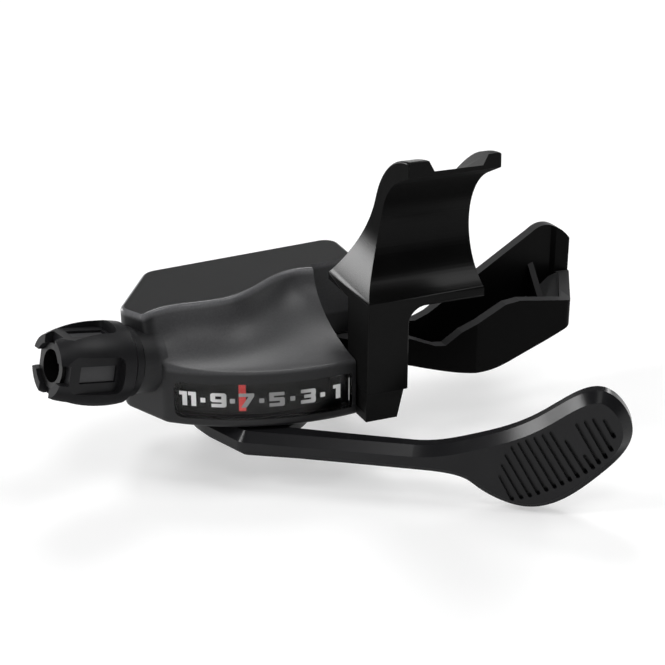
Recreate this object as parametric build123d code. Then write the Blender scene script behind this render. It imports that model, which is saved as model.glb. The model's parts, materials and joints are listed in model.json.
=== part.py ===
from build123d import *
import math
import os

# Right-hand trigger gear shifter for a bicycle handlebar, eleven positions.
# The origin is on the handlebar's axis, in the middle of the clamp band. +X runs along the bar
# towards its end, +Y points forward, away from the rider, and +Z up. Millimetres and degrees.

# Clearances
SEAT = 0.05  # beside pieces that are fixed together
RUN = 0.05  # radial, of a pin or shaft that turns
FREE = 0.4  # between pieces that move past each other
LEVEL_GAP = 0.3  # between layers of the mechanism
REACH = 60.0  # how far a cutting solid runs past what it cuts

# Handlebar clamp
BAR_R = 11.1
BAND_WALL = 3.4
BAND_RIGHT = 7.5
BAND_LEFT = -8.8
BAND_LOW_ANGLE = -66.0
BAND_TIP_ANGLE = 87.0
TIP_FLAT_ANGLE = 64.0
FLARE_ANGLE = 24.0
FLARE_TOP_Z = 4.0
NOTCH_FLOOR = 8.4
NOTCH_MOUTH = 10.4
NOTCH_DEPTH = 1.7
NOTCH_ANGLE = 61.0
NOTCH_SWEEP = 60.0
BRACKET_EDGE_R = 0.4
BASE_RISE = 0.7  # of the base's top over the bar's lowest line
BASE_THICK = 1.4
BASE_TOP_Z = BASE_RISE - BAR_R
BASE_UNDER_Z = BASE_TOP_Z - BASE_THICK
BASE_BACK_Y = 22.0
POST_LEFT = -13.7
POST_WIDTH = 7.5
POST_DEPTH = 8.6
POST_BOTTOM_Z = -26.4
ARCH_R = 3.0
BRACKET_SCREW = (POST_LEFT + 3.3, 9.4)
BRACKET_SCREW_R = 2.0
BRACKET_SCREW_DEPTH = 8.0
BRACKET_HEAD_R = 2.4
BRACKET_HEAD_THICK = 1.9

# Housing: plan and levels
WALL = 1.8
COVE_WALL = 1.4
FRONT_R = 41.0
FRONT_X = -19.0
FRONT_APEX_Y = 8.6
HOUSING_RIGHT = -13.95
BAY_RIGHT = -5.0
BAY_FRONT_Y = 30.5
HOUSING_BACK_Y = 41.6
ARC_LEFT_X = -45.0
CORNER_LEFT = (-49.8, 27.3)
CORNER_BACK = (-41.3, 41.6)
CORNER_R = 3.0
DECK_Z = -12.0
DECK_DATUM_X = -10.0
DECK_SLOPE = 2.5
LIP_Z = -21.8
RIM_Z = -32.0
EDGE_R = 0.8
# Cove in the housing's front: station along X, start of its floor in Y, depth in Y up to the deck
COVE = (
    (-60.0, 13.5, 9.2),
    (-46.0, 13.5, 9.2),
    (-38.0, 12.0, 11.4),
    (-30.0, 10.0, 13.2),
    (-21.0, 8.0, 20.4),
    (-14.0, 8.0, 20.6),
    (-4.0, 8.0, 20.6),
)

# Bottom plate: the tongue under the clamp's post, and the foot on it
TONGUE_FRONT_Y = 11.6
TONGUE_BACK_Y = 22.0
TONGUE_TAPER = 3.0
TONGUE_ROOT = 1.0
TONGUE_GAP = 0.2
FOOT_FRONT_Y = 5.6
FOOT_BACK_Y = 13.0
FOOT_INSET = 0.25
FOOT_SLANT = 1.5

# Cover screws
SCREW_R = 1.0
SCREW_HEAD_R = 1.7
SCREW_HEAD_THICK = 0.9
SCREW_DEPTH = 4.5
CROSS_LENGTH = 2.4
CROSS_WIDTH = 0.5
CROSS_DEPTH = 0.4

# Window and position indicator
WINDOW_LEFT_ANGLE = -37.0
WINDOW_RIGHT_ANGLE = 6.2
WINDOW_TOP_Z = -23.9
WINDOW_BOTTOM_Z = -30.4
WINDOW_CORNER_R = 1.3
LENS_INSET = 0.15
LENS_THICK = 1.0
POCKET_DEPTH = 6.0
POCKET_LEFT_ANGLE = -38.0
POCKET_RIGHT_ANGLE = 4.2
NEEDLE_ANGLE = -19.2
NEEDLE_CLEAR = 0.38
NEEDLE_THICK = 0.4
NEEDLE_WIDTH = 1.2
NEEDLE_BOTTOM_Z = -29.4
NEEDLE_TAB = 2.4
NEEDLE_HUB_R = 2.4
NEEDLE_RIM = 0.9
SLOT_CLEAR = 0.55
NEEDLE_RATIO = 0.351
SCALE_GAP = 0.3
SCALE_THICK = 0.6
SCALE_TOP_Z = -24.25
SCALE_LEFT_ANGLE = -45.5
SCALE_RIGHT_ANGLE = 21.0

# Mechanism: plan positions
PIVOT = (-28.3, 22.7)
PAWL_PIVOT = (-25.2, 35.1)
RELEASE_PIVOT = (-9.5, 35.0)
FRAME_POSTS = ((-39.5, 35.2), (-30.5, 37.3))
COVER_SCREWS = ((-44.5, 29.0), (-17.0, 20.0), (-35.0, 37.5))

# Mechanism: thicknesses, from the base up
BASE_THICK = 1.6
LEVER_PLATE_THICK = 1.0
RATCHET_THICK = 1.2
DRUM_HEIGHT = 2.3
FRAME_THICK = 0.8
NEEDLE_ARM_THICK = 0.4
WASHER_THICK = 0.5

# Mechanism: radii
AXLE_R = 2.5
AXLE_HEAD_R = 4.4
AXLE_HEAD_THICK = 1.2
AXLE_SOCKET_R = 2.0
AXLE_SOCKET_DEPTH = 1.6
WASHER_R = 5.2
BOSS_R = 7.8
FRAME_HUB_R = 4.6
FRAME_RIM_R = 2.3
DRUM_R = 8.2
GROOVE_R = 7.0
DRUM_FLANGE = 0.7
NIPPLE_R = 1.1
NIPPLE_ORBIT = 6.8
NIPPLE_ANGLE = 100.0
SPRING_ROOM_R = 5.6
SPRING_ROOM_DEPTH = 1.3
DRUM_HUB_R = 3.4
SPRING_STRIP = 0.3
SPRING_TURNS = 2.25
RATCHET_R = 8.2
RATCHET_DEPTH = 0.9
TOOTH_START = 0.85
TOOTH_END = 0.95
INDEX_STEP = 14.5
STEPS_DOWN = 4
STEPS_UP = 6
COIL_PITCH = 1.15  # in wire thicknesses
LEVER_COIL_R = 5.0
LEVER_WIRE = 0.9
LEVER_COIL_TURNS = 2.5
RELEASE_COIL_R = 2.0
RELEASE_WIRE = 0.5
RELEASE_COIL_TURNS = 1.25
PAWL_PIN_R = 1.2
PAWL_HUB_R = 2.1
PAWL_TIP_R = 0.35
PAWL_GAP = 0.6
HOLDING_BEAK_ANGLE = 52.0
HOLDING_TAIL = (-19.5, 36.0)
HOLDING_TAIL_R = 1.1
WINDING_BEAK_TURN = 34.0
LEAF_THICK = 0.4
RELEASE_PIN_R = 1.5
POST_R = 1.8
DRIVE_PIN_R = 0.9
DRIVE_PIN_ORBIT = 7.2
WINDING_PAWL_ORBIT = 11.4
WINDING_PAWL_ANGLE = 130.0

# Thumb lever: seen along the bar's plane, t runs along the lever from the pivot
LEVER_TURN = -30.0
HUB_R = 10.6
HUB_TOP_Z = -32.4
HUB_BOTTOM_Z = -37.0
HUB_FLOOR = 1.4
HUB_ROOM_R = 6.0
HUB_TUBE_R = 3.7
SHOULDER = (2.0, -11.0)
SHOULDER_R = 3.0
ARM_FRONT = 14.0
ARM_THICK = 5.0
PAD_FRONT = 15.5
PAD_THICK = 4.2
PAD_DISH = 0.5
PAD_START = 36.0
PAD_MIDDLE = 52.0
PAD_END = 70.0
ARM_BACK = -10.7
NECK_TOP = (30.0, -32.7)
PAD_OUTLINE = (
    (39.5, -30.8),
    (50.6, -25.7),
    (60.8, -20.7),
    (65.2, -26.4),
    (60.6, -35.8),
    (48.4, -42.8),
    (41.0, -40.0),
)
NECK_LOW = (33.0, -37.5)
FRONT_BEVEL = 1.5
BACK_BEVEL = 0.6
GROOVE_WIDTH = 0.7
GROOVE_DEPTH = 0.8
# Grooves of the pad: upper and lower end of each, along the lever and up
GROOVES = (
    ((44.6, -36.6), (46.7, -40.6)),
    ((44.9, -34.5), (48.2, -40.2)),
    ((45.4, -32.6), (49.6, -39.7)),
    ((46.3, -31.1), (50.9, -39.1)),
    ((47.4, -30.3), (52.2, -38.4)),
    ((48.6, -29.7), (53.5, -37.7)),
    ((49.9, -29.1), (54.7, -37.0)),
    ((51.2, -28.5), (55.9, -36.2)),
    ((52.4, -27.9), (57.1, -35.4)),
    ((54.9, -29.2), (58.3, -34.5)),
    ((58.0, -31.6), (59.4, -33.6)),
    ((56.4, -26.1), (60.3, -32.6)),
    ((57.7, -25.5), (61.3, -31.5)),
    ((59.0, -25.0), (62.1, -30.1)),
    ((60.7, -25.0), (62.3, -27.7)),
)

# Release lever
RELEASE_BOSS_R = 3.4
RELEASE_LOW_Z = -29.3
RELEASE_ARM_THICK = 2.6
RELEASE_ARM_END = (1.0, 23.6)
RELEASE_TAIL = (-18.6, 33.7)
RELEASE_TAIL_R = 0.9
RELEASE_TAIL_ROOT_R = 2.2
SCOOP_WALL = 2.0
SCOOP_FLOOR = 2.0
SCOOP_CORNER_R = 1.4
# Finger scoop from above
SCOOP_PLAN = (
    (-5.0, 18.6),
    (2.5, 16.5),
    (12.0, 14.8),
    (31.0, 15.2),
    (39.0, 29.6),
    (35.0, 31.8),
    (6.5, 26.0),
    (-4.0, 27.5),
)
# Finger scoop seen by the rider: underside, end and top of the paddle, along X and up
SCOOP_UNDER = (
    (-7.0, -27.8),
    (0.0, -28.7),
    (10.5, -31.1),
    (15.8, -31.0),
    (20.9, -29.3),
    (31.0, -25.2),
    (39.6, -19.4),
)
SCOOP_END = ((39.6, -19.4), (39.8, -17.0), (37.4, -12.5), (33.0, -10.5), (30.0, -11.3))
SCOOP_TOP = ((30.0, -11.3), (4.2, -23.4), (-7.0, -23.4), (-7.0, -27.8))
# Top of its wall towards the rider, and the line behind which the paddle stays whole
RIM_TOP = (
    (0.0, -23.5),
    (4.5, -25.2),
    (6.3, -25.3),
    (9.2, -23.0),
    (17.6, -18.8),
    (20.5, -18.5),
    (31.9, -20.2),
)
PADDLE_FRONT = ((-9.0, 21.0), (6.5, 23.8), (34.5, 29.2))
RIB_X = 29.4
RIB_THICK = 1.2
RIB_TOP_Z = -14.6
RIB_FRONT_Z = -24.0
RIB_DEPTH = 8.0

# Cable adjuster
ADJUSTER_ROOT = (-47.2, 23.3, -22.2)
ADJUSTER_DIRECTION = (-0.945, -0.24, 0.21)
NECK_LENGTH = 3.0
NECK_WALL = 1.7
KNOB_LENGTH = 14.8
KNOB_R = 7.1
KNOB_END_R = 5.2
KNOB_ROOT_R = 6.0
KNOB_ROOT = 1.2
KNOB_SHOULDER = 2.0
KNOB_SHOULDER_IN = 0.2
KNOB_BELLY = 6.5
KNOB_TAPER = 13.0
KNOB_TAPER_R = 5.9
FLUTE_FLOOR = 1.5
FLUTE_WIDTH = 6.4
FLUTE_START = 4.2
FLUTE_CORNER_R = 1.2
LUG_GAP = 3.4
LUG_LENGTH = 1.5
KEY_WIDTH = 2.7
KEY_LENGTH = 6.4
KEY_MIDDLE = 8.2
KEY_HEIGHT = 1.1
KEY_CLEAR = 0.1
RING_WIDTH = 1.0
RING_CLEAR = 0.1
CORE_SHORT = 0.8
CORE_R = 3.8
CASING_R = 2.75
CASING_DEPTH = 8.0
CABLE_R = 0.9
CORE_INSIDE = 6.0

# Levels worked out from the above
BASE_Z = RIM_Z + BASE_THICK
LEVER_PLATE_Z = BASE_Z + LEVEL_GAP
RATCHET_Z = LEVER_PLATE_Z + LEVER_PLATE_THICK + LEVEL_GAP
DRUM_Z = RATCHET_Z + RATCHET_THICK
FRAME_Z = DRUM_Z + DRUM_HEIGHT + LEVEL_GAP
FRAME_TOP_Z = FRAME_Z + FRAME_THICK
NEEDLE_ARM_Z = FRAME_TOP_Z + LEVEL_GAP
NEEDLE_ARM_TOP_Z = NEEDLE_ARM_Z + NEEDLE_ARM_THICK
WASHER_Z = HUB_BOTTOM_Z - RUN
AXLE_HEAD_Z = WASHER_Z - WASHER_THICK
BAND_R = BAR_R + BAND_WALL
FRONT_Y = FRONT_APEX_Y + FRONT_R
LENS_INNER_R = FRONT_R - LENS_INSET - LENS_THICK
NEEDLE_R = LENS_INNER_R - NEEDLE_CLEAR - math.dist((FRONT_X, FRONT_Y), PAWL_PIVOT)
DRUM_HIGH = STEPS_UP * INDEX_STEP
DRIVE_REST = (STEPS_DOWN - STEPS_UP) * INDEX_STEP / 2


def polar(radius, angle, centre=(0.0, 0.0)):
    turn = math.radians(angle)
    return (centre[0] + radius * math.cos(turn), centre[1] + radius * math.sin(turn))


def arc(radius, start, end, centre=(0.0, 0.0)):
    middle = (start + end) / 2
    return ThreePointArc(*[polar(radius, angle, centre) for angle in (start, middle, end)])


def prism(face, low, high):
    return Pos(0, 0, low) * extrude(face, high - low)


def disc(centre, radius):
    return Pos(*centre) * Circle(radius)


def rod(centre, radius, low, high):
    return prism(disc(centre, radius), low, high)


def block(x, y, z):
    size = (x[1] - x[0], y[1] - y[0], z[1] - z[0])
    return Pos((x[0] + x[1]) / 2, (y[0] + y[1]) / 2, (z[0] + z[1]) / 2) * Box(*size)


def strap(*discs):
    """Outline of a tight belt round several discs, each given as a centre and a radius."""
    return make_hull([edge for centre, radius in discs for edge in disc(centre, radius).edges()])


def rider_view(face):
    """Solid of an outline that is drawn along X and up, on both sides of the bar's axis."""
    return Plane.XZ * extrude(face, 2 * REACH, both=True)


def ring_sector(centre, inner, outer, start, end):
    """Part of a flat ring. Its angles are counted from the rider's side, towards +X."""
    low, high = start - 90, end - 90
    return make_face([
        arc(outer, low, high, centre),
        Line(polar(outer, high, centre), polar(inner, high, centre)),
        arc(inner, high, low, centre),
        Line(polar(inner, low, centre), polar(outer, low, centre)),
    ])


def front_y(x):
    return FRONT_Y - math.sqrt(FRONT_R**2 - (x - FRONT_X) ** 2)


def deck_z(x):
    return DECK_Z + (x - DECK_DATUM_X) * math.tan(math.radians(DECK_SLOPE))


# Housing

def housing_plan():
    """Outline with its right-hand front corner still whole."""
    right = (BAY_RIGHT, front_y(BAY_RIGHT))
    left = (ARC_LEFT_X, front_y(ARC_LEFT_X))
    middle_x = (BAY_RIGHT + ARC_LEFT_X) / 2
    walls = Polyline(left, CORNER_LEFT, CORNER_BACK, (BAY_RIGHT, HOUSING_BACK_Y), right)
    plan = make_face([*walls.edges(), ThreePointArc(right, (middle_x, front_y(middle_x)), left)])
    corners = (left, CORNER_LEFT, CORNER_BACK, (BAY_RIGHT, HOUSING_BACK_Y))
    rounded = [plan.vertices().sort_by_distance((*corner, 0))[0] for corner in corners]
    return fillet(rounded, CORNER_R)


def clamp_corner(grow):
    """The corner that is taken off beside the clamp, enlarged by grow."""
    return block((HOUSING_RIGHT - grow, REACH), (-REACH, BAY_FRONT_Y + grow), (-REACH, REACH))


def above_deck(drop):
    """Everything above the sloping deck, lowered by drop."""
    slab = Pos(0, 0, REACH / 2) * Box(4 * REACH, 4 * REACH, REACH)
    return Pos(DECK_DATUM_X, 0, DECK_Z - drop) * Rot(0, -DECK_SLOPE, 0) * slab


def cove(grow):
    """Hollow that sweeps from the deck down to the lip of the front wall, enlarged by grow."""
    sections = []
    for x, floor_y, depth in COVE:
        top = deck_z(x)
        across = depth + grow
        down = top - LIP_Z + grow
        back = floor_y + across
        outline = [
            Line((-REACH, LIP_Z - grow), (floor_y, LIP_Z - grow)),
            EllipticalCenterArc((floor_y, top), across, down, -90, arc_size=90),
            Line((back, top), (back, top + REACH)),
            Line((back, top + REACH), (-REACH, top + REACH)),
            Line((-REACH, top + REACH), (-REACH, LIP_Z - grow)),
        ]
        sections.append(Plane((x, 0, 0), x_dir=(0, 1, 0), z_dir=(1, 0, 0)) * make_face(outline))
    return loft(sections)


def adjuster_plane(along):
    """Plane square to the adjuster: its x points to the rider, its y up, its z outwards."""
    outward = Vector(*ADJUSTER_DIRECTION).normalized()
    rider = Vector(outward.Y, -outward.X, 0).normalized() * -1
    return Plane(Vector(*ADJUSTER_ROOT) + outward * along, x_dir=rider, z_dir=outward)


def adjuster_rod(radius, start, end):
    return adjuster_plane(start) * extrude(Circle(radius), end - start)


def window(inner, outer, margin):
    """Curved strip in the front wall, smaller by margin all round."""
    trim = math.degrees(margin / FRONT_R)
    strip = prism(
        ring_sector((FRONT_X, FRONT_Y), inner, outer, WINDOW_LEFT_ANGLE + trim, WINDOW_RIGHT_ANGLE - trim),
        WINDOW_BOTTOM_Z + margin,
        WINDOW_TOP_Z - margin,
    )
    left_end = polar(outer, WINDOW_LEFT_ANGLE - 90, (FRONT_X, FRONT_Y))
    middle = (WINDOW_TOP_Z + WINDOW_BOTTOM_Z) / 2
    ends = strip.faces().sort_by_distance((*left_end, middle))[0].edges()
    flat = [edge for edge in ends if abs(edge.position_at(0).Z - edge.position_at(1).Z) < margin + SEAT]
    return fillet(flat, WINDOW_CORNER_R - margin)


def upper_cover():
    plan = housing_plan()
    body = prism(plan, RIM_Z, 0) - above_deck(0) - cove(0)
    body = fillet(cover_edges(body), EDGE_R) - clamp_corner(0)
    inside = prism(offset(plan, -WALL), RIM_Z, 0) - above_deck(WALL) - cove(COVE_WALL) - clamp_corner(WALL)
    for x, y in COVER_SCREWS:
        inside -= rod((x, y), POST_R, BASE_Z, 0)
    inside -= adjuster_rod(CORE_R + WALL, -CORE_INSIDE, 0)
    shell = body - inside
    shell += adjuster_rod(CORE_R + NECK_WALL, -WALL, NECK_LENGTH - FREE)
    shell -= adjuster_rod(CORE_R + RUN, -REACH / 4, REACH / 4)
    shell -= window(FRONT_R - WALL - 1, FRONT_R + 1, 0)
    pocket = ring_sector(
        (FRONT_X, FRONT_Y),
        FRONT_R - POCKET_DEPTH,
        LENS_INNER_R,
        POCKET_LEFT_ANGLE,
        POCKET_RIGHT_ANGLE,
    )
    shell -= prism(pocket, BASE_Z, LIP_Z - COVE_WALL)
    shell -= tongue_opening()
    shell -= release_opening()
    for place in COVER_SCREWS:
        shell -= rod(place, SCREW_R + SEAT, RIM_Z, BASE_Z + SCREW_DEPTH + FREE)
    return shell


def tongue_plan():
    """Outline of the bottom plate's tongue: from inside the right wall to under the clamp's post."""
    root = HOUSING_RIGHT - WALL - TONGUE_ROOT
    side = POST_LEFT + POST_WIDTH - FOOT_SLANT
    return make_face(Polyline(
        (root, TONGUE_FRONT_Y),
        (HOUSING_RIGHT + TONGUE_GAP, TONGUE_FRONT_Y),
        (POST_LEFT + FOOT_INSET, FOOT_FRONT_Y),
        (side, FOOT_FRONT_Y),
        (side, TONGUE_BACK_Y - TONGUE_TAPER),
        (root, TONGUE_BACK_Y),
        close=True,
    ))


def tongue_opening():
    """Room for the bottom plate's tongue in the right wall."""
    x = (HOUSING_RIGHT - WALL - TONGUE_ROOT, HOUSING_RIGHT + 1)
    y = (TONGUE_FRONT_Y - TONGUE_GAP, TONGUE_BACK_Y + TONGUE_GAP)
    return block(x, y, (RIM_Z - 1, BASE_Z + TONGUE_GAP))


def release_opening():
    """Slot in the walls of the bay, wide enough for the release lever's swing."""
    low_x = RELEASE_PIVOT[0] - RELEASE_BOSS_R - FREE
    high_y = RELEASE_PIVOT[1] + RELEASE_BOSS_R + FREE
    high_z = RELEASE_LOW_Z + RELEASE_ARM_THICK + FREE
    return block((low_x, REACH), (BAY_FRONT_Y - 1, high_y), (BASE_Z, high_z))


def cover_edges(body):
    """The deck's outline, the cove's edges and the rim below the window."""
    kept = []
    for edge in body.edges():
        box = edge.bounding_box()
        upright = max(box.size.X, box.size.Y) < SEAT
        low = box.max.Z < RIM_Z + SEAT
        side = box.min.X > HOUSING_RIGHT and box.min.Y < BAY_FRONT_Y
        if not upright and not side and not (low and box.min.Y > CORNER_LEFT[1]):
            kept.append(edge)
    return kept


def base_cover():
    plate = prism(offset(housing_plan(), -(WALL + SEAT)), RIM_Z, BASE_Z) - clamp_corner(WALL + SEAT)
    plate += prism(tongue_plan(), RIM_Z, BASE_Z) + bracket_foot()
    plate -= rod(PIVOT, BOSS_R + FREE, RIM_Z - 1, BASE_Z + 1)
    for place in COVER_SCREWS:
        plate -= rod(place, SCREW_R + SEAT, RIM_Z - 1, BASE_Z + 1)
        plate -= rod(place, SCREW_HEAD_R + SEAT, RIM_Z - 1, RIM_Z + SCREW_HEAD_THICK)
    plate -= rod(BRACKET_SCREW, BRACKET_SCREW_R + SEAT, RIM_Z - 1, POST_BOTTOM_Z + 1)
    return plate - rod(BRACKET_SCREW, BRACKET_HEAD_R + SEAT, RIM_Z - 1, RIM_Z + BRACKET_HEAD_THICK)


def bracket_foot():
    """Block under the clamp's post; its outer side leans inwards."""
    left = POST_LEFT + FOOT_INSET
    right = POST_LEFT + POST_WIDTH
    outline = make_face(Polyline(
        (left, RIM_Z),
        (right - FOOT_SLANT, RIM_Z),
        (right - FOOT_INSET, POST_BOTTOM_Z),
        (left, POST_BOTTOM_Z),
        close=True,
    ))
    back = Plane((0, FOOT_BACK_Y, 0), x_dir=(1, 0, 0), z_dir=(0, -1, 0))
    return back * extrude(outline, FOOT_BACK_Y - FOOT_FRONT_Y)


# Clamp bracket

def clamp_bracket():
    front = polar(BAR_R, BAND_LOW_ANGLE)
    tip_inner = polar(BAR_R / math.cos(math.radians(BAND_TIP_ANGLE - TIP_FLAT_ANGLE)), BAND_TIP_ANGLE)
    flare = polar(BAND_R, FLARE_ANGLE)
    back = (BASE_BACK_Y, BASE_TOP_Z)
    down = (math.sin(math.radians(FLARE_ANGLE)), -math.cos(math.radians(FLARE_ANGLE)))
    side = make_face([
        arc(BAR_R, BAND_LOW_ANGLE, TIP_FLAT_ANGLE),
        Line(polar(BAR_R, TIP_FLAT_ANGLE), tip_inner),
        Line(tip_inner, polar(BAND_R, BAND_TIP_ANGLE)),
        arc(BAND_R, BAND_TIP_ANGLE, FLARE_ANGLE),
        TangentArc(flare, back, tangent=down),
        Polyline(back, (BASE_BACK_Y, BASE_UNDER_Z), (front[0], BASE_UNDER_Z), front),
    ])
    width = make_face([
        Line((BAND_LEFT, REACH), (BAND_LEFT, FLARE_TOP_Z)),
        TangentArc((BAND_LEFT, FLARE_TOP_Z), (POST_LEFT, BASE_TOP_Z), tangent=(0, -1)),
        Polyline((POST_LEFT, BASE_TOP_Z), (POST_LEFT, -REACH), (BAND_RIGHT, -REACH), (BAND_RIGHT, REACH)),
        Line((BAND_RIGHT, REACH), (BAND_LEFT, REACH)),
    ])
    along_bar = Plane((0, 0, 0), x_dir=(0, 1, 0), z_dir=(1, 0, 0))
    band = along_bar * extrude(side, REACH, both=True)
    band &= Plane.XZ * extrude(width, REACH, both=True)
    post = block(
        (POST_LEFT, POST_LEFT + POST_WIDTH),
        (front[0], front[0] + POST_DEPTH),
        (POST_BOTTOM_Z, BASE_UNDER_Z),
    )
    bracket = band + post
    arch = (POST_LEFT + POST_WIDTH, front[0] + POST_DEPTH / 2, BASE_UNDER_Z)
    bracket = fillet(bracket.edges().sort_by_distance(arch)[0], ARCH_R)
    bracket -= tip_notch()
    bracket = fillet(bracket_edges(bracket, front[0]), BRACKET_EDGE_R)
    hole_top = POST_BOTTOM_Z + BRACKET_SCREW_DEPTH + FREE
    return bracket - rod(BRACKET_SCREW, BRACKET_SCREW_R + SEAT, POST_BOTTOM_Z - 1, hole_top)


def bracket_edges(bracket, front):
    """Edges of the post's front and of the band's outside."""
    kept = []
    for edge in bracket.edges():
        box = edge.bounding_box()
        places = [edge.position_at(share) for share in (0, 0.25, 0.5, 0.75, 1)]
        outside = min(math.hypot(place.Y, place.Z) for place in places) > BAND_R - SEAT
        beside_notch = max(-box.min.X, box.max.X) > NOTCH_MOUTH / 2 + BRACKET_EDGE_R
        rising = box.max.Z > BASE_TOP_Z + SEAT and box.size.Y > BRACKET_EDGE_R
        flat = max(abs(box.min.Y - front), abs(box.max.Y - front)) < SEAT
        under = POST_BOTTOM_Z + SEAT < box.max.Z < BASE_TOP_Z + SEAT
        if (outside and beside_notch and rising) or (flat and under):
            kept.append(edge)
    return kept


def tip_notch():
    """Seat on the outside of the band's tip, with leaning sides."""
    low = BAND_R - NOTCH_DEPTH
    lean = (NOTCH_MOUTH - NOTCH_FLOOR) / 2
    profile = make_face(Polyline(
        (-NOTCH_FLOOR / 2, low),
        (NOTCH_FLOOR / 2, low),
        (NOTCH_MOUTH / 2 + lean, BAND_R + NOTCH_DEPTH),
        (-NOTCH_MOUTH / 2 - lean, BAND_R + NOTCH_DEPTH),
        close=True,
    ))
    square = polar(1, NOTCH_ANGLE + 90)
    return revolve(Plane((0, 0, 0), x_dir=(1, 0, 0), z_dir=(0, *square)) * profile, Axis.X, NOTCH_SWEEP)


def bracket_screw():
    head = rod(BRACKET_SCREW, BRACKET_HEAD_R, RIM_Z, RIM_Z + BRACKET_HEAD_THICK)
    shank = rod(BRACKET_SCREW, BRACKET_SCREW_R, RIM_Z + 1, POST_BOTTOM_Z + BRACKET_SCREW_DEPTH)
    hexagon = RegularPolygon(BRACKET_HEAD_R / 2, 6)
    socket = Pos(*BRACKET_SCREW, RIM_Z) * extrude(hexagon, BRACKET_HEAD_THICK / 2)
    return head + shank - socket


def cover_screws():
    screws = []
    for place in COVER_SCREWS:
        screw = rod(place, SCREW_HEAD_R, RIM_Z, RIM_Z + SCREW_HEAD_THICK)
        screw += rod(place, SCREW_R, RIM_Z, BASE_Z + SCREW_DEPTH)
        slot = Pos(*place, RIM_Z) * Box(CROSS_LENGTH, CROSS_WIDTH, 2 * CROSS_DEPTH)
        cross = Pos(*place, RIM_Z) * Box(CROSS_WIDTH, CROSS_LENGTH, 2 * CROSS_DEPTH)
        screws.append(screw - slot - cross)
    return Compound(children=screws)


# Indicator

def indicator_lens():
    outer = FRONT_R - LENS_INSET
    return window(outer - LENS_THICK, outer, SEAT)


def indicator_scale():
    outer = NEEDLE_R - NEEDLE_THICK - SCALE_GAP
    strip = ring_sector(PAWL_PIVOT, outer - SCALE_THICK, outer, SCALE_LEFT_ANGLE, SCALE_RIGHT_ANGLE)
    return prism(strip, BASE_Z, SCALE_TOP_Z)


def drive_line():
    """Distance from the needle's pivot to the drum's, and the bearing from one to the other."""
    x, y = PIVOT[0] - PAWL_PIVOT[0], PIVOT[1] - PAWL_PIVOT[1]
    return math.hypot(x, y), math.degrees(math.atan2(y, x))


def indicator_needle():
    """Slotted arm that the drum's pin swings, with the pointer at its end."""
    distance, bearing = drive_line()
    middle = bearing + NEEDLE_RATIO * DRIVE_REST
    near = distance + DRIVE_PIN_ORBIT * math.cos(math.radians(DRUM_HIGH + DRIVE_REST)) - FREE
    far = distance + DRIVE_PIN_ORBIT + FREE
    width = DRIVE_PIN_R + SLOT_CLEAR
    tip_angle = NEEDLE_ANGLE - 90
    arm = strap((PAWL_PIVOT, NEEDLE_HUB_R), (polar(far, middle, PAWL_PIVOT), width + NEEDLE_RIM))
    reach = strap(
        (polar(far, middle, PAWL_PIVOT), NEEDLE_WIDTH / 2),
        (polar(NEEDLE_R - NEEDLE_WIDTH, tip_angle, PAWL_PIVOT), NEEDLE_WIDTH / 2),
    )
    slot = strap((polar(near, middle, PAWL_PIVOT), width), (polar(far, middle, PAWL_PIVOT), width))
    top = NEEDLE_ARM_TOP_Z
    needle = prism(arm, NEEDLE_ARM_Z, top) + prism(reach, NEEDLE_ARM_Z, top)
    half = math.degrees(NEEDLE_WIDTH / 2 / NEEDLE_R)
    inner = NEEDLE_R - NEEDLE_THICK
    tab = ring_sector(PAWL_PIVOT, NEEDLE_R - NEEDLE_TAB, NEEDLE_R, NEEDLE_ANGLE - half, NEEDLE_ANGLE + half)
    blade = ring_sector(PAWL_PIVOT, inner, NEEDLE_R, NEEDLE_ANGLE - half, NEEDLE_ANGLE + half)
    needle += prism(tab, NEEDLE_ARM_Z, top) + prism(blade, NEEDLE_BOTTOM_Z, top)
    needle -= prism(slot, NEEDLE_ARM_Z - 1, top + 1)
    return needle - rod(PAWL_PIVOT, PAWL_PIN_R + RUN, NEEDLE_ARM_Z - 1, top + 1)


# Winding mechanism

def main_axle():
    low = AXLE_HEAD_Z - AXLE_HEAD_THICK
    head = rod(PIVOT, AXLE_HEAD_R, low, AXLE_HEAD_Z)
    head = chamfer(head.edges().sort_by(Axis.Z)[0], AXLE_HEAD_THICK / 3)
    socket = Pos(*PIVOT, low) * extrude(RegularPolygon(AXLE_SOCKET_R, 6), AXLE_SOCKET_DEPTH)
    return rod(PIVOT, AXLE_R, low + AXLE_HEAD_THICK / 2, FRAME_TOP_Z) + head - socket


def axle_washer():
    return prism(disc(PIVOT, WASHER_R) - disc(PIVOT, AXLE_R + SEAT), AXLE_HEAD_Z, WASHER_Z)


def frame_plate():
    posts = [(post, FRAME_RIM_R) for post in FRAME_POSTS]
    outline = strap((PIVOT, FRAME_HUB_R), (PAWL_PIVOT, FRAME_RIM_R), (RELEASE_PIVOT, FRAME_RIM_R), *posts)
    holes = disc(PIVOT, AXLE_R + SEAT) + disc(PAWL_PIVOT, PAWL_PIN_R + SEAT)
    holes += disc(RELEASE_PIVOT, RELEASE_PIN_R + SEAT)
    holes += disc(COVER_SCREWS[2], POST_R + FREE)
    return prism(outline - holes, FRAME_Z, FRAME_TOP_Z) - clamp_corner(WALL + FREE)


def frame_posts():
    return Compound(children=[rod(post, POST_R, BASE_Z, FRAME_Z) for post in FRAME_POSTS])


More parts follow.
